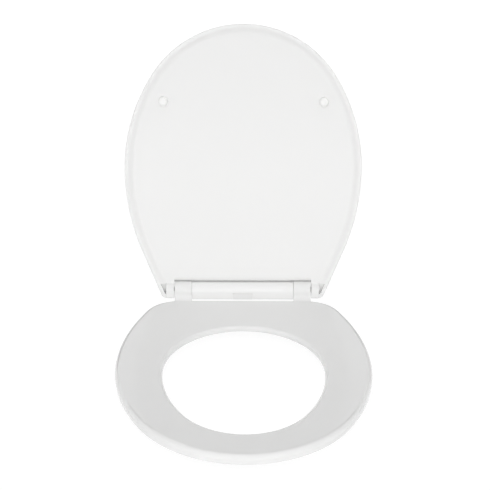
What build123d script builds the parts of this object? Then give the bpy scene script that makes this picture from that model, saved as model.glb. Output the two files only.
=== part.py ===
from build123d import *
from math import acos, asin, atan, atan2, cos, degrees, radians, sin, tan
import os

# Toilet seat with an open lid, soft-close dampers and a quick-release hinge bar. Millimetres.
# The origin is midway between the two post sockets, on the flat underside of the hinge bar.
# +X is to the right seen from the front, +Y to the rear, +Z up. The hinge line runs along X.

# Hinge line and the way the lid stands
hinge_height = 12.5  # hinge line above the underside of the bar
open_angle = 102.0  # lid, from lying on the seat to leaning back
rim_drop = 20.0  # bowl rim below the underside of the bar
running_gap = 0.08  # radial play of a shaft in its bearing
fixed_gap = 0.05  # radial play of a piece pressed or keyed into another
slide_gap = 0.15  # play of the sliding latch parts

# Planform shared by seat and lid, measured forward from the hinge line
leaf_half_width = 185.0
leaf_reach = 419.0  # hinge line to the front edge of the seat
leaf_wide_at = 193.5  # where the leaf is widest
leaf_fullness = 0.9054  # smaller radius of an oval over its shorter half
flank_end = 66.0  # behind this the flanks run straight
tail_margin = 9.5  # leaf outside the ears on the hinge line

# Seat ring
seat_drop = 10.9  # top of the seat below the hinge line
seat_rear = 15.5  # hinge line to the rear edge of the seat
seat_corner = 56.0
seat_skirt = 13.5  # height of the outer edge
seat_web = 8.5  # thickness inside the skirt
skirt_wall = 12.0
seat_round = 6.8  # outer top edge
hole_round = 5.0  # top edge of the hole
hole_under_round = 2.0
skirt_round = 2.0
seat_side_band = 69.5  # width of the ring at its sides
seat_front_band = 49.0
hole_rear = 102.5
hole_wide_at = 218.5
hole_fullness = 0.853

# Lugs of the seat on the hinge line
lug_gap = 0.3  # from the end of the bar to the lug
lug_length = 27.5
lug_radius = 13.5
lug_blend = 8.0  # hollow from the lug to the top of the seat
lug_root = 10.0  # how far the lug runs into the skirt
lug_belly = 2.0  # underside of the lug above the underside of the skirt
lug_neck = 47.0  # where the arm leaves the knuckle, in degrees below the horizontal
lug_round = 0.8

# Lid
lid_overhang = 1.0
lid_gap = 1.9  # lip of the closed lid above the seat
lid_depth = 11.0
lid_panel = 7.0
lid_lip = 5.0
lid_tail = 12.6  # rear end of the lid behind the hinge line
lid_corner = 8.0
lid_round = 7.0  # outer top edge
lip_round = 1.8
lip_blend = 6.0  # inner edge of the lip
dish_wall = 7.0  # width of the slope from the lip down to the panel
dish_round = 7.0  # hollow between that slope and the panel
dish_corner = 8.0
notch_radius = 14.2  # clear room round the hinge line for the bar and the lugs
notch_round = 8.0  # edge of the panel that curls back over the bar
ridge_rise = 8.6  # ridge along the notch, above the panel
ridge_front = 49.0  # front of the ridge, from the hinge line

# Ears of the lid on the hinge line
ear_gap = 1.0  # from the lug to the ear
ear_length = 13.0
ear_radius = 12.0
ear_root = 27.0  # front of the ear's root under the panel
ear_wall = 2.2  # closed outer end of the ear
ear_heel = 3.0  # rounding where the ear ends at the rear of the lid
ear_blend = 4.0  # hollow from the ear to the panel
ear_round = 1.2
pocket_width = 12.0  # pocket between an ear and the lip
pocket_front = 11.0
pocket_depth = 5.6  # at its rear end, below the panel
pocket_wall = 0.4

# Buffers
lid_buffer_inset = (60.7, 116.4)  # from the side and from the front of the leaf
lid_buffer_radius = 8.0
lid_buffer_gap = 0.3
seat_buffer_inset = (95.0, 69.0)
seat_rear_buffer_inset = (59.0, 307.0)
seat_buffer_radius = 9.0
buffer_stem = 3.0
lid_stem_depth = 3.0
seat_stem_depth = 5.0
buffer_round = 2.5
lid_buffer_dome = 5.0

# Hinge bar and its base
bar_half_length = 81.6
bar_radius = 12.5
bar_edge = 1.6
bar_wall = 2.3
base_thick = 3.4
base_end_wall = 2.2
base_gap = 0.1
screw_x = 46.0
screw_y = 7.9
screw_radius = 1.0
screw_head = 2.0
screw_length = 8.0

# Soft-close dampers in the bar
damper_start = 20.0
damper_inset = 25.6  # cap of a damper in from the end of the bar
damper_radius = 6.5
damper_wall = 1.1
damper_floor = 2.0
cap_thick = 2.6
drum_gap = 0.4
shaft_radius = 4.0
key_flat = 2.8  # half the width across the flats
pivot_radius = 2.8
bush_wall = 1.5
end_bush_length = 6.0

# Post sockets and the release latch
post_inset = 14.6  # post in from the end of the bar
socket_radius = 6.0
post_neck = 4.25
latch_thick = 2.2
latch_half_width = 4.5
latch_inner = 7.0
horn_length = 1.8  # latch tips past the inner side of the neck
peg_radius = 1.5
peg_x = 11.0
guide_wall = 1.3
release_travel = 2.5
button_half_width = 15.5
button_height = 11.0
button_thick = 2.6
button_round = 2.0
button_gap = 0.3
carriage_depth = 15.0
carriage_thick = 2.1
spring_wire = 0.22
spring_radius = 0.9
spring_turns = 7

# Places worked out from the sizes above
lug_inner = bar_half_length + lug_gap
lug_outer = lug_inner + lug_length
ear_inner = lug_outer + ear_gap
ear_outer = ear_inner + ear_length
hole_half_width = leaf_half_width - seat_side_band
hole_front = leaf_reach - seat_front_band
seat_top = hinge_height - seat_drop
lip_level = seat_drop - lid_gap  # below the hinge line with the lid closed
panel_level = lip_level - lid_depth + lid_panel
crown_level = lip_level - lid_depth
panel_middle = panel_level - lid_panel / 2
ridge_level = crown_level - ridge_rise
ridge_top = ((notch_radius**2 - ridge_level**2) ** 0.5, ridge_level)
ridge_foot = ((notch_radius**2 - panel_level**2) ** 0.5, panel_level)
notch_front = (notch_radius + ridge_front) / 2
ear_angle = atan2(ridge_level, ridge_top[0]) - acos(ear_radius / notch_radius)
ear_touch = (ear_radius * cos(ear_angle), ear_radius * sin(ear_angle))  # back of the ear meets its knuckle
base_half_length = bar_half_length - base_end_wall - base_gap
base_half_width = bar_radius - bar_wall - base_gap
latch_floor = base_thick + slide_gap
latch_top = latch_floor + latch_thick
carriage_floor = latch_top + slide_gap
carriage_top = carriage_floor + carriage_thick
socket_x = bar_half_length - post_inset
damper_end = bar_half_length - damper_inset
damper_length = damper_end - damper_start
bore_radius = damper_radius + fixed_gap
drum_start = damper_start + damper_floor + drum_gap
drum_end = damper_end - cap_thick - drum_gap
drum_radius = damper_radius - damper_wall - drum_gap
shaft_end = ear_outer - ear_wall - fixed_gap
latch_outer = socket_x - post_neck + horn_length
spring_length = 2 * (latch_inner - slide_gap)
carriage_half = damper_start - damper_floor - fixed_gap
window_height = button_height + 2 * button_gap
on_floor = (Align.CENTER, Align.CENTER, Align.MIN)
screw_places = [(x, y) for x in (-screw_x, screw_x) for y in (-screw_y, screw_y)]

# The flanks run into straight tails that pass outside the ears. Their half-angle tangent
# depends on itself, so it is found by putting it back in until it settles.
flank_fall = leaf_half_width - ear_outer - tail_margin
flank_run = leaf_wide_at - flank_end
half_tangent = 0.0
for step in range(8):
    half_tangent = flank_fall / (flank_run + 2 * flank_end / (1 - half_tangent**2))
flank_radius = flank_run / sin(2 * atan(half_tangent))

os.makedirs("parts", exist_ok=True)


def leaf_place(inset, side):
    """Point of a leaf that lies in from its side and its front by inset."""
    return (side * (leaf_half_width - inset[0]), leaf_reach - inset[1])


def leaf_plane(angle):
    """Plane of a leaf turned up by angle: x across, y forward from the hinge line, z to its underside."""
    turn = radians(angle)
    return Plane(origin=(0, 0, hinge_height), x_dir=(1, 0, 0), z_dir=(0, -sin(turn), -cos(turn)))


def leaf_section(angle, x):
    """Cross-section plane of a leaf at x: x forward from the hinge line, y to its underside."""
    return Plane(origin=(x, 0, hinge_height), x_dir=leaf_plane(angle).y_dir, z_dir=(1, 0, 0))


def larger_radius(smaller, near, far):
    """Radius that closes a quarter oval of half sizes near and far, tangent to the arc at far's end."""
    return (near**2 + far**2 - 2 * far * smaller) / (2 * (near - smaller))


def oval_end(half_width, length, fullness, centre_y, way):
    """One end of an oval as tangent arcs: side, nose, side. way is 1 for the front end, -1 for the rear."""
    if length > half_width:
        nose = fullness * half_width
        side = larger_radius(nose, half_width, length)
    else:
        side = fullness * length
        nose = larger_radius(side, length, half_width)
    nose_y = centre_y + way * (length - nose)
    turn = degrees(atan2(abs(length - nose), abs(side - half_width)))
    CenterArc((half_width - side, centre_y), side, 0, way * turn)
    CenterArc((0, nose_y), nose, way * turn, way * (180 - 2 * turn))
    CenterArc((side - half_width, centre_y), side, way * (180 - turn), way * turn)


def leaf_outline(overhang, rear):
    """Outline of seat or lid: an oval front, arched flanks, straight tails and a straight rear edge."""
    half_width = leaf_half_width + overhang
    flank = flank_radius + overhang
    oval_end(half_width, leaf_reach + overhang - leaf_wide_at, leaf_fullness, leaf_wide_at, 1)
    sweep = asin((leaf_wide_at - flank_end) / flank)
    CenterArc((half_width - flank, leaf_wide_at), flank, 0, -degrees(sweep))
    CenterArc((flank - half_width, leaf_wide_at), flank, 180, degrees(sweep))
    tail_x = half_width - flank + flank * cos(sweep)
    rear_x = tail_x - (flank_end - rear) * tan(sweep)
    Polyline((tail_x, flank_end), (rear_x, rear), (-rear_x, rear), (-tail_x, flank_end))


lid_buffer_places = {
    "lid_buffer_left": leaf_place(lid_buffer_inset, -1),
    "lid_buffer_right": leaf_place(lid_buffer_inset, 1),
}
seat_buffer_places = {
    "seat_buffer_front_left": leaf_place(seat_buffer_inset, -1),
    "seat_buffer_front_right": leaf_place(seat_buffer_inset, 1),
    "seat_buffer_rear_left": leaf_place(seat_rear_buffer_inset, -1),
    "seat_buffer_rear_right": leaf_place(seat_rear_buffer_inset, 1),
}
seat_face = leaf_plane(0).offset(seat_drop)
lid_plane = leaf_plane(open_angle)
seat_under = Axis((0, 0, hinge_height), (0, 0, -1))
lid_under = Axis((0, 0, hinge_height), lid_plane.z_dir)

# Lug of the seat: a knuckle on the hinge line with an arm that runs into the skirt
with BuildPart() as lug:
    with BuildSketch(leaf_section(0, lug_inner)):
        Circle(lug_radius)
        belly = seat_drop + seat_skirt - lug_belly
        blend_reach = lug_radius + lug_blend
        blend_level = seat_drop - lug_blend
        on_top = ((blend_reach**2 - blend_level**2) ** 0.5, seat_drop)
        on_knuckle = (on_top[0] * lug_radius / blend_reach, blend_level * lug_radius / blend_reach)
        with BuildLine():
            TangentArc(on_top, on_knuckle, tangent=(-1, 0))
            Polyline(
                on_knuckle,
                (0, 0),
                (lug_radius * cos(radians(lug_neck)), lug_radius * sin(radians(lug_neck))),
                (seat_rear, belly),
                (seat_rear + lug_root, belly),
                (seat_rear + lug_root, seat_drop),
                on_top,
            )
        make_face()
    extrude(amount=lug_length)
    fillet(lug.faces().filter_by(Axis.X).edges(), radius=lug_round)

# Seat ring: a rounded slab with an egg-shaped hole, thinned underneath inside a skirt
with BuildPart() as seat_ring:
    with BuildSketch(seat_face) as seat_shape:
        with BuildLine():
            leaf_outline(0, seat_rear)
        make_face()
        fillet(seat_shape.vertices().group_by(Axis.Y)[0], radius=seat_corner)
        with BuildLine():
            oval_end(hole_half_width, hole_front - hole_wide_at, hole_fullness, hole_wide_at, 1)
            oval_end(hole_half_width, hole_wide_at - hole_rear, hole_fullness, hole_wide_at, -1)
        make_face(mode=Mode.SUBTRACT)
    extrude(amount=seat_skirt)
    with BuildSketch(seat_face.offset(seat_web)) as recess_shape:
        with BuildLine():
            leaf_outline(-skirt_wall, seat_rear + skirt_wall)
        make_face()
        fillet(recess_shape.vertices().group_by(Axis.Y)[0], radius=seat_corner - skirt_wall)
    extrude(amount=seat_skirt - seat_web, mode=Mode.SUBTRACT)
    top = seat_ring.faces().sort_by(seat_under)[0]
    fillet(top.outer_wire().edges(), radius=seat_round)
    top = seat_ring.faces().sort_by(seat_under)[0]
    fillet(top.inner_wires()[0].edges(), radius=hole_round)
    web_under = seat_ring.faces().filter_by(Axis.Z).group_by(seat_under)[1][0]
    fillet(web_under.inner_wires()[0].edges(), radius=hole_under_round)
    foot = seat_ring.faces().sort_by(seat_under)[-1]
    fillet(foot.outer_wire().edges(), radius=skirt_round)
    add(lug.part)
    mirror(lug.part, about=Plane.YZ)
    with BuildSketch(leaf_section(0, -lug_outer)):
        Circle(shaft_radius + fixed_gap)
        Rectangle(2 * lug_radius, 2 * (key_flat + fixed_gap), mode=Mode.INTERSECT)
    extrude(amount=lug_length, mode=Mode.SUBTRACT)
    with BuildSketch(leaf_section(0, lug_inner)):
        Circle(shaft_radius + running_gap + bush_wall + fixed_gap)
    extrude(amount=lug_length, mode=Mode.SUBTRACT)
    with BuildSketch(seat_face.offset(seat_web)):
        with Locations(*seat_buffer_places.values()):
            Circle(buffer_stem + fixed_gap)
    extrude(amount=-seat_stem_depth - fixed_gap, mode=Mode.SUBTRACT)
seat_ring.part.label = "seat_ring"
export_step(seat_ring.part, "parts/seat_ring.step")

# Ear of the lid: a knuckle on the hinge line that grows out of the panel
with BuildPart() as ear:
    with BuildSketch(leaf_section(open_angle, ear_inner)) as ear_shape:
        Circle(ear_radius)
        with BuildLine():
            Polyline(
                (0, 0),
                ear_touch,
                ridge_top,
                (ear_root, panel_middle),
                (ear_root, panel_level),
                (0, panel_level),
                close=True,
            )
        make_face()
        with Locations((-lid_tail / 2, ear_radius / 2)):
            Rectangle(lid_tail, ear_radius)
        fillet(ear_shape.vertices().sort_by_distance((-lid_tail, ear_radius))[0], radius=ear_heel)
        throat = (ear_radius**2 - panel_level**2) ** 0.5
        fillet(ear_shape.vertices().sort_by_distance((throat, panel_level))[0], radius=ear_blend)
    extrude(amount=ear_length)
    fillet(ear.faces().filter_by(Axis.X).edges(), radius=ear_round)

# Pocket between an ear and the lip of the lid, deeper towards the rear
with BuildPart() as pocket:
    with BuildSketch(leaf_section(open_angle, ear_outer)):
        with BuildLine():
            Polyline(
                (pocket_front, panel_level),
                (-lid_tail, panel_level - pocket_depth),
                (-lid_tail, lip_level),
                (pocket_front, lip_level),
                close=True,
            )
        make_face()
    extrude(amount=pocket_width)
    with BuildSketch(lid_plane) as pocket_shape:
        with BuildLine():
            leaf_outline(lid_overhang - lid_lip - pocket_wall, lid_lip + pocket_wall - lid_tail)
        make_face()
        fillet(pocket_shape.vertices().group_by(Axis.Y)[0], radius=dish_corner - pocket_wall)
    extrude(amount=lid_depth, both=True, mode=Mode.INTERSECT)

# Lid: a shallow dish with a lip, a notch for the hinge bar and two ears on the hinge line
with BuildPart() as lid:
    with BuildSketch(lid_plane.offset(crown_level)) as lid_shape:
        with BuildLine():
            leaf_outline(lid_overhang, -lid_tail)
        make_face()
        fillet(lid_shape.vertices().group_by(Axis.Y)[0], radius=lid_corner)
    extrude(amount=lid_depth)
    fillet(lid.faces().sort_by(lid_under)[0].edges(), radius=lid_round)
    fillet(lid.faces().sort_by(lid_under)[-1].edges(), radius=lip_round)
    for level, inset in ((lip_level, lid_lip), (panel_level, lid_lip + dish_wall)):
        with BuildSketch(lid_plane.offset(level)) as dish_shape:
            with BuildLine():
                leaf_outline(lid_overhang - inset, inset - lid_tail)
            make_face()
            fillet(dish_shape.vertices().group_by(Axis.Y)[0], radius=dish_corner)
    loft(ruled=True, mode=Mode.SUBTRACT)
    floor = lid.faces().filter_by(lid_plane).group_by(lid_under)[1][0]
    fillet(floor.edges(), radius=dish_round)
    fillet(lid.faces().sort_by(lid_under)[-1].inner_wires()[0].edges(), radius=lip_blend)
    with BuildSketch(leaf_section(open_angle, 0)):
        with Locations((notch_front / 2 - lid_tail, 0)):
            Rectangle(notch_front + 2 * lid_tail, 4 * lid_depth)
    extrude(amount=ear_inner, both=True, mode=Mode.SUBTRACT)
    with BuildSketch(leaf_section(open_angle, 0)) as ridge_shape:
        with BuildLine():
            TangentArc((ridge_front, crown_level), ridge_top, tangent=(-1, 0))
            TangentArc(ridge_top, ridge_foot, tangent=(-ridge_top[1], ridge_top[0]))
            Polyline(ridge_foot, (ridge_front, panel_level), (ridge_front, crown_level))
        make_face()
        fillet(ridge_shape.vertices().sort_by_distance(ridge_foot)[0], radius=notch_round)
    extrude(amount=ear_outer, both=True)
    add(ear.part)
    mirror(ear.part, about=Plane.YZ)
    add(pocket.part, mode=Mode.SUBTRACT)
    mirror(pocket.part, about=Plane.YZ, mode=Mode.SUBTRACT)
    with BuildSketch(leaf_section(open_angle, ear_inner)):
        Circle(shaft_radius + fixed_gap)
        Rectangle(2 * lug_radius, 2 * (key_flat + fixed_gap), mode=Mode.INTERSECT)
    extrude(amount=ear_length - ear_wall, mode=Mode.SUBTRACT)
    with BuildSketch(leaf_section(open_angle, -ear_inner)):
        Circle(pivot_radius + running_gap + bush_wall + fixed_gap)
    extrude(amount=ear_wall - ear_length, mode=Mode.SUBTRACT)
    with BuildSketch(lid_plane.offset(panel_level)):
        with Locations(*lid_buffer_places.values()):
            Circle(buffer_stem + fixed_gap)
    extrude(amount=-lid_stem_depth - fixed_gap, mode=Mode.SUBTRACT)
lid.part.label = "lid"
export_step(lid.part, "parts/lid.step")


def buffer_section(plane, place, level):
    """Plane through a buffer's axis: x across, y away from the leaf's underside at level."""
    foot = plane.from_local_coords((place[0], place[1], level))
    return Plane(origin=foot, x_dir=(1, 0, 0), z_dir=-plane.y_dir)


def buffer_half(radius, height, stem_depth, edge):
    """Half profile of a buffer: stem, shoulder, side and a rounded foot."""
    FilletPolyline((radius, 0), (radius, height), (0, height), radius=edge)
    Polyline((0, height), (0, -stem_depth), (buffer_stem, -stem_depth), (buffer_stem, 0), (radius, 0))


# Rubber buffers under the lid, short of the seat by a small gap when the lid is closed
for name, place in lid_buffer_places.items():
    section = buffer_section(lid_plane, place, panel_level)
    reach = seat_drop - lid_buffer_gap - panel_level
    with BuildPart() as lid_buffer:
        with BuildSketch(section):
            with BuildLine():
                buffer_half(lid_buffer_radius, reach, lid_stem_depth, lid_buffer_dome)
            make_face()
        revolve(axis=Axis(section.origin, section.y_dir))
    lid_buffer.part.label = name
    export_step(lid_buffer.part, f"parts/{name}.step")

# Rubber buffers under the seat, standing on the rim of the bowl
for name, place in seat_buffer_places.items():
    section = buffer_section(seat_face, place, seat_web)
    reach = seat_top - seat_web + rim_drop
    with BuildPart() as seat_buffer:
        with BuildSketch(section):
            with BuildLine():
                buffer_half(seat_buffer_radius, reach, seat_stem_depth, buffer_round)
            make_face()
        revolve(axis=Axis(section.origin, section.y_dir))
    seat_buffer.part.label = name
    export_step(seat_buffer.part, f"parts/{name}.step")

# Hinge bar: a round-backed housing, bored from both ends for the dampers and open underneath
with BuildPart() as hinge_bar:
    with BuildSketch(Plane.YZ):
        with Locations((0, hinge_height)):
            Circle(bar_radius)
        with Locations((0, hinge_height / 2)):
            Rectangle(2 * bar_radius, hinge_height)
    extrude(amount=bar_half_length, both=True)
    fillet(hinge_bar.faces().sort_by(Axis.Z)[0].edges().filter_by(Axis.X), radius=bar_edge)
    with BuildSketch(Plane.XY):
        Rectangle(2 * (bar_half_length - base_end_wall), 2 * (bar_radius - bar_wall))
    extrude(amount=base_thick, mode=Mode.SUBTRACT)
    with BuildSketch(Plane.XY):
        Rectangle(2 * (socket_x + socket_radius), 2 * (latch_half_width + 2 * slide_gap + guide_wall))
        Rectangle(2 * carriage_half, 2 * (bar_radius - bar_wall))
    extrude(amount=carriage_top + slide_gap, mode=Mode.SUBTRACT)
    with BuildSketch(Plane.XZ.offset(bar_radius)):
        with Locations((0, window_height / 2)):
            Rectangle(2 * (button_half_width + button_gap), window_height)
    extrude(amount=-button_thick - release_travel - button_gap, mode=Mode.SUBTRACT)
    for side in (-1, 1):
        with BuildSketch(leaf_section(0, side * bar_half_length)):
            Circle(bore_radius)
        extrude(amount=side * (damper_start - bar_half_length), mode=Mode.SUBTRACT)
    with BuildSketch(Plane.XY.offset(base_thick)):
        with Locations(*screw_places):
            Circle(screw_radius)
    extrude(amount=screw_length - base_thick, mode=Mode.SUBTRACT)
hinge_bar.part.label = "hinge_bar"
export_step(hinge_bar.part, "parts/hinge_bar.step")

# Base of the bar: a plate with the two post sockets and the rails that guide the latches
with BuildPart() as hinge_base:
    with BuildSketch(Plane.XY):
        Rectangle(2 * base_half_length, 2 * base_half_width)
        with Locations((0, -base_half_width)):
            Rectangle(
                2 * (button_half_width + button_gap),
                2 * (release_travel + button_thick + button_gap - bar_wall),
                mode=Mode.SUBTRACT,
            )
        with Locations((-socket_x, 0), (socket_x, 0)):
            Circle(socket_radius, mode=Mode.SUBTRACT)
    extrude(amount=base_thick)
    with BuildSketch(Plane.XY.offset(base_thick)):
        for side in (-1, 1):
            with Locations(
                (side * (damper_start + damper_end) / 2, latch_half_width + slide_gap + guide_wall / 2),
                (side * (damper_start + damper_end) / 2, -latch_half_width - slide_gap - guide_wall / 2),
            ):
                Rectangle(damper_length, guide_wall)
    extrude(amount=latch_thick)
    with Locations(*[Location((x, y, 0), (180, 0, 0)) for x, y in screw_places]):
        CounterSinkHole(screw_radius + slide_gap, screw_head + slide_gap, base_thick, counter_sink_angle=90)
hinge_base.part.label = "hinge_base"
export_step(hinge_base.part, "parts/hinge_base.step")

# Countersunk screws that hold the base in the bar
with BuildPart() as base_screws:
    with Locations(*screw_places):
        Cone(screw_head, screw_radius, screw_head - screw_radius, align=on_floor)
        Cylinder(screw_radius, screw_length, align=on_floor)
base_screws.part.label = "base_screws"
export_step(base_screws.part, "parts/base_screws.step")

# Dampers: a cup in the bar with a cap, and a bush in the end of the bar that carries the shaft
for owner, side in (("seat", -1), ("lid", 1)):
    with BuildPart() as damper_housing:
        with BuildSketch(leaf_section(0, side * damper_start)):
            Circle(damper_radius)
        extrude(amount=side * damper_length)
        with BuildSketch(leaf_section(0, side * (damper_start + damper_floor))):
            Circle(damper_radius - damper_wall)
        extrude(amount=side * damper_length, mode=Mode.SUBTRACT)
    damper_housing.part.label = f"{owner}_damper_housing"
    export_step(damper_housing.part, f"parts/{owner}_damper_housing.step")

    with BuildPart() as damper_cap:
        with BuildSketch(leaf_section(0, side * damper_end)):
            Circle(damper_radius - damper_wall - fixed_gap)
            Circle(shaft_radius + running_gap, mode=Mode.SUBTRACT)
        extrude(amount=-side * cap_thick)
    damper_cap.part.label = f"{owner}_damper_cap"
    export_step(damper_cap.part, f"parts/{owner}_damper_cap.step")

    with BuildPart() as end_bush:
        with BuildSketch(leaf_section(0, side * bar_half_length)):
            Circle(bore_radius - fixed_gap)
            Circle(shaft_radius + running_gap, mode=Mode.SUBTRACT)
        extrude(amount=-side * end_bush_length)
    end_bush.part.label = f"{owner}_side_end_bush"
    export_step(end_bush.part, f"parts/{owner}_side_end_bush.step")

# Rotor of the seat's damper: keyed in the left lug, with a pivot that carries the lid's left ear
with BuildPart() as seat_damper_rotor:
    with BuildSketch(leaf_section(0, -drum_start)):
        Circle(drum_radius)
    extrude(amount=drum_start - drum_end)
    with BuildSketch(leaf_section(0, -drum_end)):
        Circle(shaft_radius)
    extrude(amount=drum_end - lug_inner)
    with BuildSketch(leaf_section(0, -lug_inner)):
        Circle(shaft_radius)
        Rectangle(2 * lug_radius, 2 * key_flat, mode=Mode.INTERSECT)
    extrude(amount=-lug_length)
    with BuildSketch(leaf_section(0, -lug_outer)):
        Circle(pivot_radius)
    extrude(amount=lug_outer - shaft_end)
seat_damper_rotor.part.label = "seat_damper_rotor"
export_step(seat_damper_rotor.part, "parts/seat_damper_rotor.step")

# Rotor of the lid's damper: runs through a bush in the right lug and is keyed in the lid's right ear
with BuildPart() as lid_damper_rotor:
    with BuildSketch(leaf_section(open_angle, drum_start)):
        Circle(drum_radius)
    extrude(amount=drum_end - drum_start)
    with BuildSketch(leaf_section(open_angle, drum_end)):
        Circle(shaft_radius)
    extrude(amount=lug_outer - drum_end)
    with BuildSketch(leaf_section(open_angle, lug_outer)):
        Circle(shaft_radius)
        Rectangle(2 * lug_radius, 2 * key_flat, mode=Mode.INTERSECT)
    extrude(amount=shaft_end - lug_outer)
lid_damper_rotor.part.label = "lid_damper_rotor"
export_step(lid_damper_rotor.part, "parts/lid_damper_rotor.step")

# Bush in the right lug, for the lid's shaft
with BuildPart() as seat_bush:
    with BuildSketch(leaf_section(0, lug_inner)):
        Circle(shaft_radius + running_gap + bush_wall)
        Circle(shaft_radius + running_gap, mode=Mode.SUBTRACT)
    extrude(amount=lug_length)
seat_bush.part.label = "seat_bush"
export_step(seat_bush.part, "parts/seat_bush.step")

# Bush in the lid's left ear, for the pivot of the seat's shaft
with BuildPart() as lid_bush:
    with BuildSketch(leaf_section(open_angle, -ear_inner)):
        Circle(pivot_radius + running_gap + bush_wall)
        Circle(pivot_radius + running_gap, mode=Mode.SUBTRACT)
    extrude(amount=ear_inner - shaft_end)
lid_bush.part.label = "lid_bush"
export_step(lid_bush.part, "parts/lid_bush.step")

# Release button: a pad in the front of the bar on a carriage with two slanted slots
with BuildPart() as release_button:
    with BuildSketch(Plane.XZ.offset(bar_radius)) as pad_shape:
        with Locations((0, button_gap + button_height / 2)):
            Rectangle(2 * button_half_width, button_height)
        fillet(pad_shape.vertices().group_by(Axis.Y)[-1], radius=button_round)
    extrude(amount=-button_thick)
    with BuildSketch(Plane.XY.offset(carriage_floor)):
        with Locations((0, carriage_depth / 2 - bar_radius + button_thick)):
            Rectangle(2 * (carriage_half - slide_gap), carriage_depth)
        for side in (-1, 1):
            with Locations((side * (peg_x - release_travel / 2), -release_travel / 2)):
                SlotCenterToCenter(
                    release_travel * 2**0.5,
                    2 * (peg_radius + slide_gap),
                    rotation=side * 45,
                    mode=Mode.SUBTRACT,
                )
    extrude(amount=carriage_thick)
release_button.part.label = "release_button"
export_step(release_button.part, "parts/release_button.step")

# Latches: flat bars that grip the necks of the posts, with a peg in the carriage's slot
for name, side in (("latch_left", -1), ("latch_right", 1)):
    with BuildPart() as latch:
        with BuildSketch(Plane.XY.offset(latch_floor)):
            with Locations((side * (latch_inner + latch_outer) / 2, 0)):
                Rectangle(latch_outer - latch_inner, 2 * latch_half_width)
            with Locations((side * socket_x, 0)):
                Circle(post_neck, mode=Mode.SUBTRACT)
        extrude(amount=latch_thick)
        with BuildSketch(Plane.XY.offset(latch_top)):
            with Locations((side * peg_x, 0)):
                Circle(peg_radius)
        extrude(amount=carriage_top - latch_top)
    latch.part.label = name
    export_step(latch.part, f"parts/{name}.step")

# Coil spring between the latches, which pushes them outwards
with BuildPart() as latch_spring:
    with BuildLine() as coil:
        Helix(
            pitch=(spring_length - 2 * spring_wire) / spring_turns,
            height=spring_length - 2 * spring_wire,
            radius=spring_radius,
            center=(spring_wire - spring_length / 2, 0, latch_floor + latch_thick / 2),
            direction=(1, 0, 0),
        )
    with BuildSketch(Plane(origin=coil.line @ 0, z_dir=coil.line % 0)):
        Rectangle(2 * spring_wire, 2 * spring_wire)
    sweep(path=coil.line, is_frenet=True)
latch_spring.part.label = "latch_spring"
export_step(latch_spring.part, "parts/latch_spring.step")
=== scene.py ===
# %% [markdown]
# # Toilet seat with its lid open
# A seat ring and a lid hang on one hinge bar. Soft-close dampers sit in the bar, and a button in
# its front frees the whole seat from the bowl. The CAD frame fixes every size and every joint.
# This lesson dresses that frame: camera and light first, then the finishes, then the small
# pieces that repeat and the spring.

# %% Load the frame
import bpy
import bmesh
from math import cos, radians, sin
from mathutils import Euler, Matrix, Vector


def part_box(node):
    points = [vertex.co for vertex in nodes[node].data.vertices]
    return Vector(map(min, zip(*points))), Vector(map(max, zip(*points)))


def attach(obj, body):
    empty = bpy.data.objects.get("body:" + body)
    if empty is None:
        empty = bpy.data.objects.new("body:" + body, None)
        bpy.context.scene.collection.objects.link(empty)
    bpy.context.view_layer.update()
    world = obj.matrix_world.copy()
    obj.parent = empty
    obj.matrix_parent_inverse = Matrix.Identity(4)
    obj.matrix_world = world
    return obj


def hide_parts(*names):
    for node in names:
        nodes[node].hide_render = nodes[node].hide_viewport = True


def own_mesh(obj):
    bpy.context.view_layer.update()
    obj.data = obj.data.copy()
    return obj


MM = 0.001
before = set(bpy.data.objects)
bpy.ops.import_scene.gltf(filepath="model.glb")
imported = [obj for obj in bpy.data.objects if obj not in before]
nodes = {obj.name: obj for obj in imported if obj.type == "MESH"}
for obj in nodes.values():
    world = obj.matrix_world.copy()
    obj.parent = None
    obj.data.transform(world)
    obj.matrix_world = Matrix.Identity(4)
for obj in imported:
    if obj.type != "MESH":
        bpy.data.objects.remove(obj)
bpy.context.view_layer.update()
print("nodes:", len(nodes))

# %% [markdown]
# ## Camera
# A picture is matched by standing where its camera stood. The lens is long, so the seat looks
# calm and hardly tapers. Place and tilt come from the outlines of seat and lid. The picture
# leans a little, so the camera is rolled by half a degree after it has been aimed.

# %% Camera
SENSOR_WIDTH = 36.0  # millimetres
LENS = 71.24  # millimetres
SIDE_SHIFT = 0.001  # a share of the picture's width
CAMERA_PLACE = (-17, -1389, 756)  # millimetres
LOOK_DOWN, LOOK_RIGHT, ROLL = 25.55, 0.8, 0.5  # degrees

camera_data = bpy.data.cameras.new("camera")
camera_data.sensor_width = SENSOR_WIDTH
camera_data.lens = LENS
camera_data.shift_x = SIDE_SHIFT
camera = bpy.data.objects.new("camera", camera_data)
camera.location = [distance * MM for distance in CAMERA_PLACE]
aim = Euler((radians(90 - LOOK_DOWN), 0.0, radians(-LOOK_RIGHT))).to_matrix()
roll = Matrix.Rotation(radians(ROLL), 3, "Z")
camera.rotation_euler = (aim @ roll).to_euler()
bpy.context.scene.collection.objects.link(camera)
bpy.context.scene.camera = camera
print("camera at", tuple(round(v, 3) for v in camera.location))

# %% [markdown]
# ## Small helpers for nodes
# Shaders and Geometry Nodes are both trees of nodes. One helper adds a node and fills its
# sockets: a socket from another node becomes a link, anything else is written in as a value.
# Math nodes are so common in both that they get a helper of their own.

# %% Node helpers
def add_node(tree, kind, sockets=(), **settings):
    """A new node. settings are its own options; sockets maps input names or numbers to values or links."""
    made = tree.nodes.new(kind)
    for option, value in settings.items():
        setattr(made, option, value)
    for key, value in dict(sockets).items():
        if isinstance(value, bpy.types.NodeSocket):
            tree.links.new(value, made.inputs[key])
        else:
            made.inputs[key].default_value = value
    return made


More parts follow.
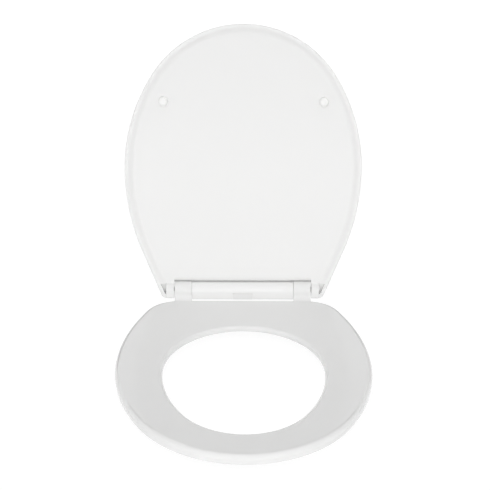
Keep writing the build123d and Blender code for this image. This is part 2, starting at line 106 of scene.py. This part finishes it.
def calc(tree, operation, first, second):
    """The output of a Math node on two sockets or numbers."""
    return add_node(tree, "ShaderNodeMath", {0: first, 1: second}, operation=operation).outputs[0]


def new_material(name):
    """An empty node material, its tree and its output node."""
    material = bpy.data.materials.new(name)
    material.use_nodes = True
    tree = material.node_tree
    tree.nodes.clear()
    return material, tree, tree.nodes.new("ShaderNodeOutputMaterial")


print("helpers ready")

# %% [markdown]
# ## White floor and world
# Catalogue pictures stand on a white sweep. The floor and the world show full white to the camera
# and to shiny reflections, but they light the object only at a plain level. Light Path tells the
# two apart. The floor keeps a little plain paper in the mix, so the seat still drops a shadow. Its
# lower face is clear, so that the underside of the seat can be looked at through it.

# %% Floor and world
FLOOR_HALF = 8.0
FLOOR_Z = min(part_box(name)[0].z for name in nodes if name.startswith("seat_buffer"))
PAPER = (0.8, 0.8, 0.8, 1)  # what the object gets back from the floor
SHADOW_PAPER = (0.12, 0.12, 0.12, 1)  # the thin layer of paper that shows the shadow
GLOW_NEAR, GLOW_FAR = 0.94, 1.0  # white of the floor under the seat and far from it
GLOW_START, GLOW_END = 0.7, 1.7  # the distances at which those two are reached, in metres
AMBIENT = 0.39  # strength of the world as a light


def seen_directly(tree):
    """1 for what is seen straight, in a shine or through glass, and 0 for light on its way to a surface."""
    path = add_node(tree, "ShaderNodeLightPath")
    shine = calc(tree, "MAXIMUM", path.outputs["Is Camera Ray"], path.outputs["Is Glossy Ray"])
    return calc(tree, "MAXIMUM", shine, path.outputs["Is Transmission Ray"])


floor_mesh = bpy.data.meshes.new("floor")
corners = [(x * FLOOR_HALF, y * FLOOR_HALF, FLOOR_Z) for x, y in ((-1, -1), (1, -1), (1, 1), (-1, 1))]
floor_mesh.from_pydata(corners, [], [(0, 1, 2, 3)])
floor = bpy.data.objects.new("floor", floor_mesh)
bpy.context.scene.collection.objects.link(floor)

floor_paint, tree, output = new_material("floor_paint")
paper = add_node(tree, "ShaderNodeBsdfDiffuse", {"Color": PAPER})
shadow = add_node(tree, "ShaderNodeBsdfDiffuse", {"Color": SHADOW_PAPER})
place = add_node(tree, "ShaderNodeTexCoord").outputs["Object"]
away = add_node(tree, "ShaderNodeVectorMath", {0: place}, operation="LENGTH").outputs["Value"]
whiten = add_node(
    tree, "ShaderNodeMapRange",
    {"Value": away, "From Min": GLOW_START, "From Max": GLOW_END, "To Min": GLOW_NEAR, "To Max": GLOW_FAR})
glow = add_node(tree, "ShaderNodeEmission", {"Strength": whiten.outputs["Result"]})
seen = add_node(tree, "ShaderNodeAddShader", {0: shadow.outputs[0], 1: glow.outputs[0]})
pick = add_node(
    tree, "ShaderNodeMixShader", {0: seen_directly(tree), 1: paper.outputs[0], 2: seen.outputs[0]})
below = add_node(tree, "ShaderNodeNewGeometry").outputs["Backfacing"]
clear = add_node(tree, "ShaderNodeBsdfTransparent")
one_way = add_node(tree, "ShaderNodeMixShader", {0: below, 1: pick.outputs[0], 2: clear.outputs[0]})
tree.links.new(one_way.outputs[0], output.inputs["Surface"])
floor.data.materials.append(floor_paint)

world = bpy.data.worlds.new("studio")
bpy.context.scene.world = world
world.use_nodes = True
tree = world.node_tree
strength = add_node(tree, "ShaderNodeMix", {"Factor": seen_directly(tree), "A": AMBIENT, "B": 1.0})
tree.links.new(strength.outputs["Result"], tree.nodes["Background"].inputs["Strength"])
tree.nodes["Background"].inputs["Color"].default_value = (1, 1, 1, 1)
bpy.context.scene.view_settings.view_transform = "Standard"
print("floor at", round(FLOOR_Z, 4))

# %% [markdown]
# ## Dark cards
# A white part on white paper has hardly any outline. A studio stands dark cards just outside the
# picture, and the rounded edges mirror them as a thin grey line. These cards show only in
# reflections. They take no light away, and the camera never sees them. Each fades to white towards
# its rim, so that no hard border shows in the polish.

# %% Dark cards
CARD_FADE = 0.14  # the share of a card, from its rim inwards, over which it darkens
MIDDLE = 0.5  # halfway across a card, and halfway up
BLACK, PALE_GREY = 0.02, 0.7  # darkest tone of a card
BACK_Y, SIDE_X = 2.0, 1.2  # how far behind the hinge and to its sides the cards stand, in metres


def edge_card(name, start, end, low, high, shade):
    """An upright card from start to end, seen from above, between two heights. shade is its darkest tone."""
    mesh = bpy.data.meshes.new(name)
    mesh.from_pydata([(*start, low), (*end, low), (*end, high), (*start, high)], [], [(0, 1, 2, 3)])
    foot = MIDDLE if low <= FLOOR_Z else 0.0  # a card that stands on the floor has no fade there
    for loop, corner in zip(mesh.uv_layers.new(name="rim").data, ((0, foot), (1, foot), (1, 1), (0, 1))):
        loop.uv = corner
    paint, tree, output = new_material(name)
    card_place = add_node(tree, "ShaderNodeUVMap", uv_map="rim").outputs[0]
    split = add_node(tree, "ShaderNodeSeparateXYZ", {0: card_place})
    across, up = [calc(tree, "PINGPONG", split.outputs[axis], MIDDLE) for axis in ("X", "Y")]
    fade = add_node(
        tree, "ShaderNodeMapRange",
        {"Value": calc(tree, "MINIMUM", across, up), "From Max": CARD_FADE, "To Min": 1.0, "To Max": shade},
        interpolation_type="SMOOTHSTEP")
    tone = add_node(tree, "ShaderNodeEmission", {"Strength": fade.outputs["Result"]})
    tree.links.new(tone.outputs[0], output.inputs["Surface"])
    mesh.materials.append(paint)
    card = bpy.data.objects.new(name, mesh)
    card.visible_camera = False
    card.visible_diffuse = False
    card.visible_shadow = False
    bpy.context.scene.collection.objects.link(card)


edge_card("card_back_low", (-1.95, BACK_Y), (1.6, BACK_Y), FLOOR_Z, 1.1, BLACK)
edge_card("card_back_high", (-3.5, BACK_Y), (3.5, BACK_Y), 2.0, 3.8, BLACK)
edge_card("card_left", (-SIDE_X, 1.25), (-SIDE_X, 2.4), FLOOR_Z, 1.0, BLACK)
edge_card("card_right", (SIDE_X, 0.7), (SIDE_X, 2.4), FLOOR_Z, 1.0, PALE_GREY)

# %% [markdown]
# ## Lamps
# The upright faces in the picture are brighter than the flat top of the seat, so most of the light
# comes from the front and from low down. Big soft panels do that without hard shadows. A weaker
# panel behind lights the back of the lid for views from there.

# %% Lamps
def softbox(name, place, target, size, power):
    """A lamp at place that looks at target. size is its width and height. No reflection shows it."""
    data = bpy.data.lights.new(name, "AREA")
    data.shape = "RECTANGLE"
    data.size, data.size_y = size
    data.energy = power
    lamp = bpy.data.objects.new(name, data)
    lamp.location = place
    lamp.visible_camera = False
    lamp.visible_glossy = False
    lamp.rotation_euler = (Vector(target) - Vector(place)).to_track_quat("-Z", "Y").to_euler()
    bpy.context.scene.collection.objects.link(lamp)


softbox("low_panel", place=(0, -2.4, 0.25), target=(0, 0, 0.1), size=(3, 0.5), power=25)
softbox("back_panel", place=(0, 2.4, 0.45), target=(0, 0, 0.15), size=(3, 0.9), power=12)
softbox("top_panel", place=(0, -0.3, 2.2), target=(0, -0.2, 0), size=(1.6, 1.6), power=10.2)
softbox("side_left", place=(-2.2, -0.8, 1.2), target=(0, 0, 0.1), size=(1.4, 1.4), power=8.4)
softbox("side_right", place=(2.2, -0.8, 1.2), target=(0, 0, 0.1), size=(1.4, 1.4), power=8.4)

# %% [markdown]
# ## Finishes
# The seat is pressed from a hard white resin in polished moulds. Its shine is almost a mirror, with
# a faint waviness and a trace of cloud in the white. Softer plastics and rubber are the same
# recipe with more roughness and more grain. Every noise reads Object coordinates, so the grain
# stays on the part when it moves.

# %% Finishes
CLOUD_SCALE, SMEAR_SCALE = 9.0, 45.0  # patches per metre, of tone and of gloss
GRAIN_STRENGTH, STREAK_STRENGTH = 0.5, 0.4
STREAK_SCALE = (300.0, 4000.0, 4000.0)  # streaks per metre along X, Y and Z
STREAK_DEPTH = 0.02 * MM
COAT_ROUGHNESS = 0.04


def moulded(name, colour, cloud, rough, grain, coat=0.0):
    """A moulded plastic or rubber.

    cloud is how far the tone drifts, rough the lowest and highest roughness, grain the size and
    depth of the surface texture in millimetres, coat the weight of a polished skin.
    """
    material, tree, output = new_material(name)
    place = add_node(tree, "ShaderNodeTexCoord").outputs["Object"]
    drift = add_node(tree, "ShaderNodeTexNoise", {"Vector": place, "Scale": CLOUD_SCALE, "Detail": 2.0})
    tone = add_node(
        tree, "ShaderNodeMix",
        {"Factor": drift.outputs["Fac"], 6: (*colour, 1), 7: (*[c * (1 - cloud) for c in colour], 1)},
        data_type="RGBA")
    smear = add_node(tree, "ShaderNodeTexNoise", {"Vector": place, "Scale": SMEAR_SCALE, "Detail": 3.0})
    gloss = add_node(
        tree, "ShaderNodeMapRange",
        {"Value": smear.outputs["Fac"], "To Min": rough[0], "To Max": rough[1]})
    grain_size, grain_depth = grain
    peel = add_node(
        tree, "ShaderNodeTexNoise", {"Vector": place, "Scale": 1 / (grain_size * MM), "Detail": 1.0})
    bump = add_node(
        tree, "ShaderNodeBump",
        {"Height": peel.outputs["Fac"], "Strength": GRAIN_STRENGTH, "Distance": grain_depth * MM})
    shader = add_node(
        tree, "ShaderNodeBsdfPrincipled",
        {"Base Color": tone.outputs[2], "Roughness": gloss.outputs["Result"],
         "Normal": bump.outputs["Normal"], "Coat Weight": coat, "Coat Roughness": COAT_ROUGHNESS})
    tree.links.new(shader.outputs[0], output.inputs["Surface"])
    return material


def brushed(name, colour, rough):
    """Drawn steel: streaks that are long in X and fine across it."""
    material, tree, output = new_material(name)
    place = add_node(tree, "ShaderNodeTexCoord").outputs["Object"]
    stretched = add_node(tree, "ShaderNodeMapping", {"Vector": place, "Scale": STREAK_SCALE})
    streak = add_node(
        tree, "ShaderNodeTexNoise", {"Vector": stretched.outputs[0], "Scale": 1.0, "Detail": 2.0})
    gloss = add_node(
        tree, "ShaderNodeMapRange",
        {"Value": streak.outputs["Fac"], "To Min": rough[0], "To Max": rough[1]})
    bump = add_node(
        tree, "ShaderNodeBump",
        {"Height": streak.outputs["Fac"], "Strength": STREAK_STRENGTH, "Distance": STREAK_DEPTH})
    shader = add_node(
        tree, "ShaderNodeBsdfPrincipled",
        {"Base Color": (*colour, 1), "Metallic": 1.0, "Roughness": gloss.outputs["Result"],
         "Normal": bump.outputs["Normal"]})
    tree.links.new(shader.outputs[0], output.inputs["Surface"])
    return material


seat_white = moulded(
    "seat_white", (0.87, 0.87, 0.865), cloud=0.012, rough=(0.11, 0.17), grain=(2.5, 0.01), coat=1.0)
hinge_white = moulded("hinge_white", (0.92, 0.92, 0.915), cloud=0.012, rough=(0.4, 0.5), grain=(1.0, 0.012))
# The bar's white is a little lighter than the seat's, and the button's white is a little darker than the
# bar's, so the button shows as a greyer patch in the bar.
button_white = moulded(
    "button_white", (0.87, 0.87, 0.865), cloud=0.012, rough=(0.3, 0.4), grain=(0.8, 0.015))
buffer_white = moulded("buffer_white", (0.93, 0.93, 0.92), cloud=0.02, rough=(0.42, 0.55), grain=(0.6, 0.03))
bush_white = moulded("bush_white", (0.8, 0.8, 0.79), cloud=0.03, rough=(0.4, 0.55), grain=(0.5, 0.02))
latch_white = moulded("latch_white", (0.78, 0.78, 0.77), cloud=0.03, rough=(0.4, 0.55), grain=(0.5, 0.02))
damper_grey = moulded("damper_grey", (0.55, 0.56, 0.58), cloud=0.04, rough=(0.45, 0.6), grain=(0.5, 0.03))
bright_steel = brushed("bright_steel", (0.62, 0.62, 0.62), rough=(0.22, 0.38))

finish_of = {
    seat_white: ["lid", "seat_ring"],
    hinge_white: ["hinge_bar", "hinge_base"],
    button_white: ["release_button"],
    bush_white: ["lid_bush", "seat_bush", "seat_side_end_bush", "lid_side_end_bush"],
    latch_white: ["latch_left", "latch_right"],
    damper_grey: [
        f"{leaf}_damper_{piece}" for leaf in ("seat", "lid") for piece in ("housing", "cap", "rotor")],
}
for material, names in finish_of.items():
    for name in names:
        nodes[name].data.materials.clear()
        nodes[name].data.materials.append(material)
print("finished nodes:", sum(len(names) for names in finish_of.values()))

# %% [markdown]
# ## Turning a profile with Geometry Nodes
# Buffers, feet and screws are all turned shapes: a profile spun about an axis. The tree lays out the
# stations of the profile, rounds the ones that have a rounding, and sweeps the line round a circle.
# Modelling one piece and copying it would also work, but a tree keeps each size as a named input.

# %% Tree helpers
RAIL = 0.05  # radius of the circle the profile is swept round; any size larger than the piece will do
ROUNDING_STEPS = 8
WELD = 0.002 * MM  # points closer than this become one
SLIVER = 0.001 * MM  # edges shorter than this are taken out
SHARP_FROM = radians(35)  # edges that turn by more stay sharp


def new_tree(name, inputs):
    """A Geometry Nodes tree with a geometry output and named inputs. Gives the tree, inputs and output."""
    tree = bpy.data.node_groups.new(name, "GeometryNodeTree")
    tree.interface.new_socket("Geometry", in_out="OUTPUT", socket_type="NodeSocketGeometry")
    for label, kind in inputs.items():
        tree.interface.new_socket(label, in_out="INPUT", socket_type=f"NodeSocket{kind}")
    return tree, tree.nodes.new("NodeGroupInput").outputs, tree.nodes.new("NodeGroupOutput")


def pick_by_index(tree, values):
    """A field that gives each point the value of its own number."""
    chooser = add_node(tree, "GeometryNodeIndexSwitch", data_type="FLOAT")
    while len(chooser.index_switch_items) < len(values):
        chooser.index_switch_items.new()
    tree.links.new(add_node(tree, "GeometryNodeInputIndex").outputs[0], chooser.inputs["Index"])
    for number, value in enumerate(values):
        if isinstance(value, bpy.types.NodeSocket):
            tree.links.new(value, chooser.inputs[number + 1])
        else:
            chooser.inputs[number + 1].default_value = value
    return chooser.outputs[0]


def turned(tree, stations, steps):
    """A profile spun about Z in so many steps. A station is its radius, its height and its rounding."""
    radii, heights, roundings = zip(*stations)
    line = add_node(tree, "GeometryNodeMeshLine", {"Count": len(stations)})
    spot = add_node(
        tree, "ShaderNodeCombineXYZ",
        {"X": calc(tree, "SUBTRACT", pick_by_index(tree, radii), RAIL),
         "Y": calc(tree, "MULTIPLY", pick_by_index(tree, heights), -1.0)})
    placed = add_node(
        tree, "GeometryNodeSetPosition", {"Geometry": line.outputs[0], "Position": spot.outputs[0]})
    profile = add_node(tree, "GeometryNodeMeshToCurve", {"Mesh": placed.outputs[0]})
    rounded = add_node(
        tree, "GeometryNodeFilletCurve",
        {"Curve": profile.outputs[0], "Radius": pick_by_index(tree, roundings), "Count": ROUNDING_STEPS,
         "Limit Radius": True},
        mode="POLY")
    rail = add_node(tree, "GeometryNodeCurvePrimitiveCircle", {"Radius": RAIL, "Resolution": steps})
    spun = add_node(
        tree, "GeometryNodeCurveToMesh", {"Curve": rail.outputs[0], "Profile Curve": rounded.outputs[0]})
    return add_node(
        tree, "GeometryNodeMergeByDistance", {"Geometry": spun.outputs[0], "Distance": WELD}).outputs[0]


def stand_on(tree, shape, inputs, output):
    """Copies of shape on the points of Places, upright along Axis, in Material."""
    places = add_node(tree, "GeometryNodeObjectInfo", {"Object": inputs["Places"]})
    upright = add_node(tree, "FunctionNodeAlignRotationToVector", {"Vector": inputs["Axis"]}, axis="Z")
    copies = add_node(
        tree, "GeometryNodeInstanceOnPoints",
        {"Points": places.outputs["Geometry"], "Instance": shape, "Rotation": upright.outputs[0]})
    real = add_node(tree, "GeometryNodeRealizeInstances", {"Geometry": copies.outputs[0]})
    painted = add_node(
        tree, "GeometryNodeSetMaterial", {"Geometry": real.outputs[0], "Material": inputs["Material"]})
    tree.links.new(painted.outputs[0], output.inputs[0])


def grow(name, tree, places, values):
    """Run a tree on the given places and keep the result as a plain mesh."""
    points = bpy.data.meshes.new(f"{name}_places")
    points.from_pydata(places, [], [])
    marks = bpy.data.objects.new(f"{name}_places", points)
    piece = bpy.data.objects.new(name, bpy.data.meshes.new(name))
    for made in (marks, piece):
        bpy.context.scene.collection.objects.link(made)
    modifier = piece.modifiers.new("tree", "NODES")
    modifier.node_group = tree
    values = {"Places": marks, **values}
    for item in tree.interface.items_tree:
        if item.in_out == "INPUT":
            modifier[item.identifier] = values[item.name]
    mesh = bpy.data.meshes.new_from_object(piece.evaluated_get(bpy.context.evaluated_depsgraph_get()))
    piece.modifiers.clear()
    piece.data = mesh
    bpy.data.objects.remove(marks)
    shaped = bmesh.new()
    shaped.from_mesh(mesh)
    bmesh.ops.dissolve_degenerate(shaped, dist=SLIVER, edges=shaped.edges)
    bmesh.ops.recalc_face_normals(shaped, faces=shaped.faces)
    open_edges = sum(not edge.is_manifold for edge in shaped.edges)
    shaped.to_mesh(mesh)
    shaped.free()
    mesh.shade_smooth()
    mesh.set_sharp_from_angle(angle=SHARP_FROM)
    print(name, "faces:", len(mesh.polygons), "open edges:", open_edges)
    return piece


# %% [markdown]
# ## Buffers under the lid
# Two soft buttons keep the lid off the seat. Each is a low dome on a thin skirt, held by a stem in
# the panel. The lid leans back, so the axis of the buttons is the direction the lid's underside
# looks.

# %% Lid buffers
HINGE_Z = 12.5 * MM
LID_ANGLE = radians(102)
PANEL_LEVEL = 5.0 * MM
BUFFER_ACROSS, BUFFER_FORWARD = 124.3 * MM, 302.6 * MM  # from the middle and from the hinge line
TURN_STEPS = 64  # round a buffer or a foot
lid_forward = Vector((0, -cos(LID_ANGLE), sin(LID_ANGLE)))
lid_outward = Vector((0, -sin(LID_ANGLE), -cos(LID_ANGLE)))


def on_lid(across, forward, outward):
    """A place on the open lid, from sizes measured with the lid's own directions."""
    return Vector((across, 0, HINGE_Z)) + lid_forward * forward + lid_outward * outward


tree, sizes, output = new_tree("dome_button", {
    "Places": "Object", "Axis": "Vector", "Radius": "Float", "Height": "Float", "Dome": "Float",
    "Skirt": "Float", "Stem radius": "Float", "Stem depth": "Float", "Material": "Material"})
stem_end = calc(tree, "MULTIPLY", sizes["Stem depth"], -1.0)
neck = calc(tree, "SUBTRACT", sizes["Radius"], sizes["Skirt"])
dome = turned(tree, [
    (0.0, stem_end, 0.0),
    (sizes["Stem radius"], stem_end, 0.3 * MM),
    (sizes["Stem radius"], 0.0, 0.0),
    (sizes["Radius"], 0.0, 0.0),
    (sizes["Radius"], sizes["Skirt"], 0.2 * MM),
    (neck, sizes["Skirt"], 0.2 * MM),
    (neck, sizes["Height"], sizes["Dome"]),
    (0.0, sizes["Height"], 0.0)], TURN_STEPS)
stand_on(tree, dome, sizes, output)

lid_buffers = grow(
    "lid_buffers", tree,
    [on_lid(side * BUFFER_ACROSS, BUFFER_FORWARD, PANEL_LEVEL) for side in (-1, 1)],
    {"Axis": lid_outward, "Radius": 8 * MM, "Height": 5.6 * MM, "Dome": 3.4 * MM, "Skirt": 0.6 * MM,
     "Stem radius": 3 * MM, "Stem depth": 3 * MM, "Material": buffer_white})
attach(lid_buffers, "lid")
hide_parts("lid_buffer_left", "lid_buffer_right")

# %% [markdown]
# ## Feet under the seat
# Four taller rubber feet stand on the rim of the bowl. Their faces carry two ring grooves that grip
# the glaze. The feet share the turning recipe. Only the profile differs.

# %% Seat feet
SEAT_UNDERSIDE = -6.9 * MM
FRONT_FOOT, REAR_FOOT = (90, 350), (126, 112)  # from the middle and from the hinge line, in millimetres
RING_SHARES = (0.62, 0.34)  # where the grooves lie, as shares of the radius

tree, sizes, output = new_tree("ringed_foot", {
    "Places": "Object", "Axis": "Vector", "Radius": "Float", "Height": "Float", "Edge": "Float",
    "Groove": "Float", "Stem radius": "Float", "Stem depth": "Float", "Material": "Material"})
stem_end = calc(tree, "MULTIPLY", sizes["Stem depth"], -1.0)
valley = calc(tree, "SUBTRACT", sizes["Height"], sizes["Groove"])
foot_profile = [
    (0.0, stem_end, 0.0),
    (sizes["Stem radius"], stem_end, 0.4 * MM),
    (sizes["Stem radius"], 0.0, 0.0),
    (sizes["Radius"], 0.0, 0.0),
    (sizes["Radius"], sizes["Height"], sizes["Edge"])]
for share in RING_SHARES:
    middle = calc(tree, "MULTIPLY", sizes["Radius"], share)
    foot_profile += [
        (calc(tree, "ADD", middle, sizes["Groove"]), sizes["Height"], 0.2 * MM),
        (middle, valley, 0.3 * MM),
        (calc(tree, "SUBTRACT", middle, sizes["Groove"]), sizes["Height"], 0.2 * MM)]
foot = turned(tree, [*foot_profile, (0.0, sizes["Height"], 0.0)], TURN_STEPS)
stand_on(tree, foot, sizes, output)

feet_places = [
    (side * across * MM, -forward * MM, SEAT_UNDERSIDE)
    for across, forward in (FRONT_FOOT, REAR_FOOT) for side in (-1, 1)]
seat_feet = grow("seat_feet", tree, feet_places, {
    "Axis": Vector((0, 0, -1)), "Radius": 9 * MM, "Height": SEAT_UNDERSIDE - FLOOR_Z, "Edge": 2.5 * MM,
    "Groove": 0.8 * MM, "Stem radius": 3 * MM, "Stem depth": 5 * MM, "Material": buffer_white})
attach(seat_feet, "seat")
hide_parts(*[name for name in nodes if name.startswith("seat_buffer")])

# %% [markdown]
# ## Screws of the base
# Four countersunk screws hold the base plate in the bar. They show only from below. The head is
# turned like the buffers, and a cross for the driver is cut into it with a boolean in the tree.

# %% Base screws
SCREW_X, SCREW_Y = 46 * MM, 7.9 * MM
SCREW_STEPS = 40
ARM_SHARE = 1.2  # length of the cross over the head's radius

tree, sizes, output = new_tree("cross_screw", {
    "Places": "Object", "Axis": "Vector", "Head radius": "Float", "Shank radius": "Float", "Length": "Float",
    "Cross width": "Float", "Cross depth": "Float", "Material": "Material"})
head_height = calc(tree, "SUBTRACT", sizes["Head radius"], sizes["Shank radius"])
tip_start = calc(tree, "SUBTRACT", sizes["Length"], sizes["Shank radius"])
screw = turned(tree, [
    (0.0, 0.0, 0.0),
    (sizes["Head radius"], 0.0, 0.08 * MM),
    (sizes["Shank radius"], head_height, 0.3 * MM),
    (sizes["Shank radius"], tip_start, 0.0),
    (0.0, sizes["Length"], 0.0)], SCREW_STEPS)
arm = calc(tree, "MULTIPLY", sizes["Head radius"], ARM_SHARE)
both_ways = calc(tree, "MULTIPLY", sizes["Cross depth"], 2.0)  # half of the block lies outside the head
cut = add_node(tree, "GeometryNodeMeshBoolean", {"Mesh 1": screw}, operation="DIFFERENCE", solver="EXACT")
for long_side, short_side in (("X", "Y"), ("Y", "X")):
    block = add_node(
        tree, "ShaderNodeCombineXYZ", {long_side: arm, short_side: sizes["Cross width"], "Z": both_ways})
    blade = add_node(tree, "GeometryNodeMeshCube", {"Size": block.outputs[0]})
    tree.links.new(blade.outputs["Mesh"], cut.inputs["Mesh 2"])
stand_on(tree, cut.outputs["Mesh"], sizes, output)

base_screws = grow(
    "base_screws_cross", tree, [(x * SCREW_X, y * SCREW_Y, 0) for x in (-1, 1) for y in (-1, 1)],
    {"Axis": Vector((0, 0, 1)), "Head radius": 2 * MM, "Shank radius": 1 * MM, "Length": 8 * MM,
     "Cross width": 0.5 * MM, "Cross depth": 0.7 * MM, "Material": bright_steel})
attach(base_screws, "hinge")
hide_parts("base_screws")

# %% [markdown]
# ## Spring between the latches
# A coil is a line that climbs as it turns. The tree draws that line and sweeps a round wire along it.
# Pressing the button draws the two latches together. The coil takes the length of the latch spring in the
# frame and rides with the hinge.

# %% Latch spring
COIL_STEPS, WIRE_STEPS = 24, 10  # along one turn and round the wire

tree, sizes, output = new_tree("coil", {
    "Places": "Object", "Axis": "Vector", "Radius": "Float", "Wire radius": "Float", "Length": "Float",
    "Turns": "Float", "Material": "Material"})
climb = calc(tree, "SUBTRACT", sizes["Length"], calc(tree, "MULTIPLY", sizes["Wire radius"], 2.0))
line = add_node(
    tree, "GeometryNodeCurveSpiral",
    {"Resolution": COIL_STEPS, "Rotations": sizes["Turns"], "Start Radius": sizes["Radius"],
     "End Radius": sizes["Radius"], "Height": climb})
wire = add_node(
    tree, "GeometryNodeCurvePrimitiveCircle", {"Radius": sizes["Wire radius"], "Resolution": WIRE_STEPS})
coil = add_node(
    tree, "GeometryNodeCurveToMesh",
    {"Curve": line.outputs[0], "Profile Curve": wire.outputs[0], "Fill Caps": True})
half_down = add_node(tree, "ShaderNodeCombineXYZ", {"Z": calc(tree, "MULTIPLY", climb, -0.5)})
centred = add_node(
    tree, "GeometryNodeTransform", {"Geometry": coil.outputs[0], "Translation": half_down.outputs[0]})
stand_on(tree, centred.outputs[0], sizes, output)

low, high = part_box("latch_spring")
spring_middle = (low + high) / 2
spring_length = high.x - low.x
latch_coil = grow("latch_coil", tree, [spring_middle], {
    "Axis": Vector((1, 0, 0)), "Radius": 0.9 * MM, "Wire radius": 0.22 * MM, "Length": spring_length,
    "Turns": 7.0, "Material": bright_steel})
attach(latch_coil, "hinge")
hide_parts("latch_spring")
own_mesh(latch_coil)
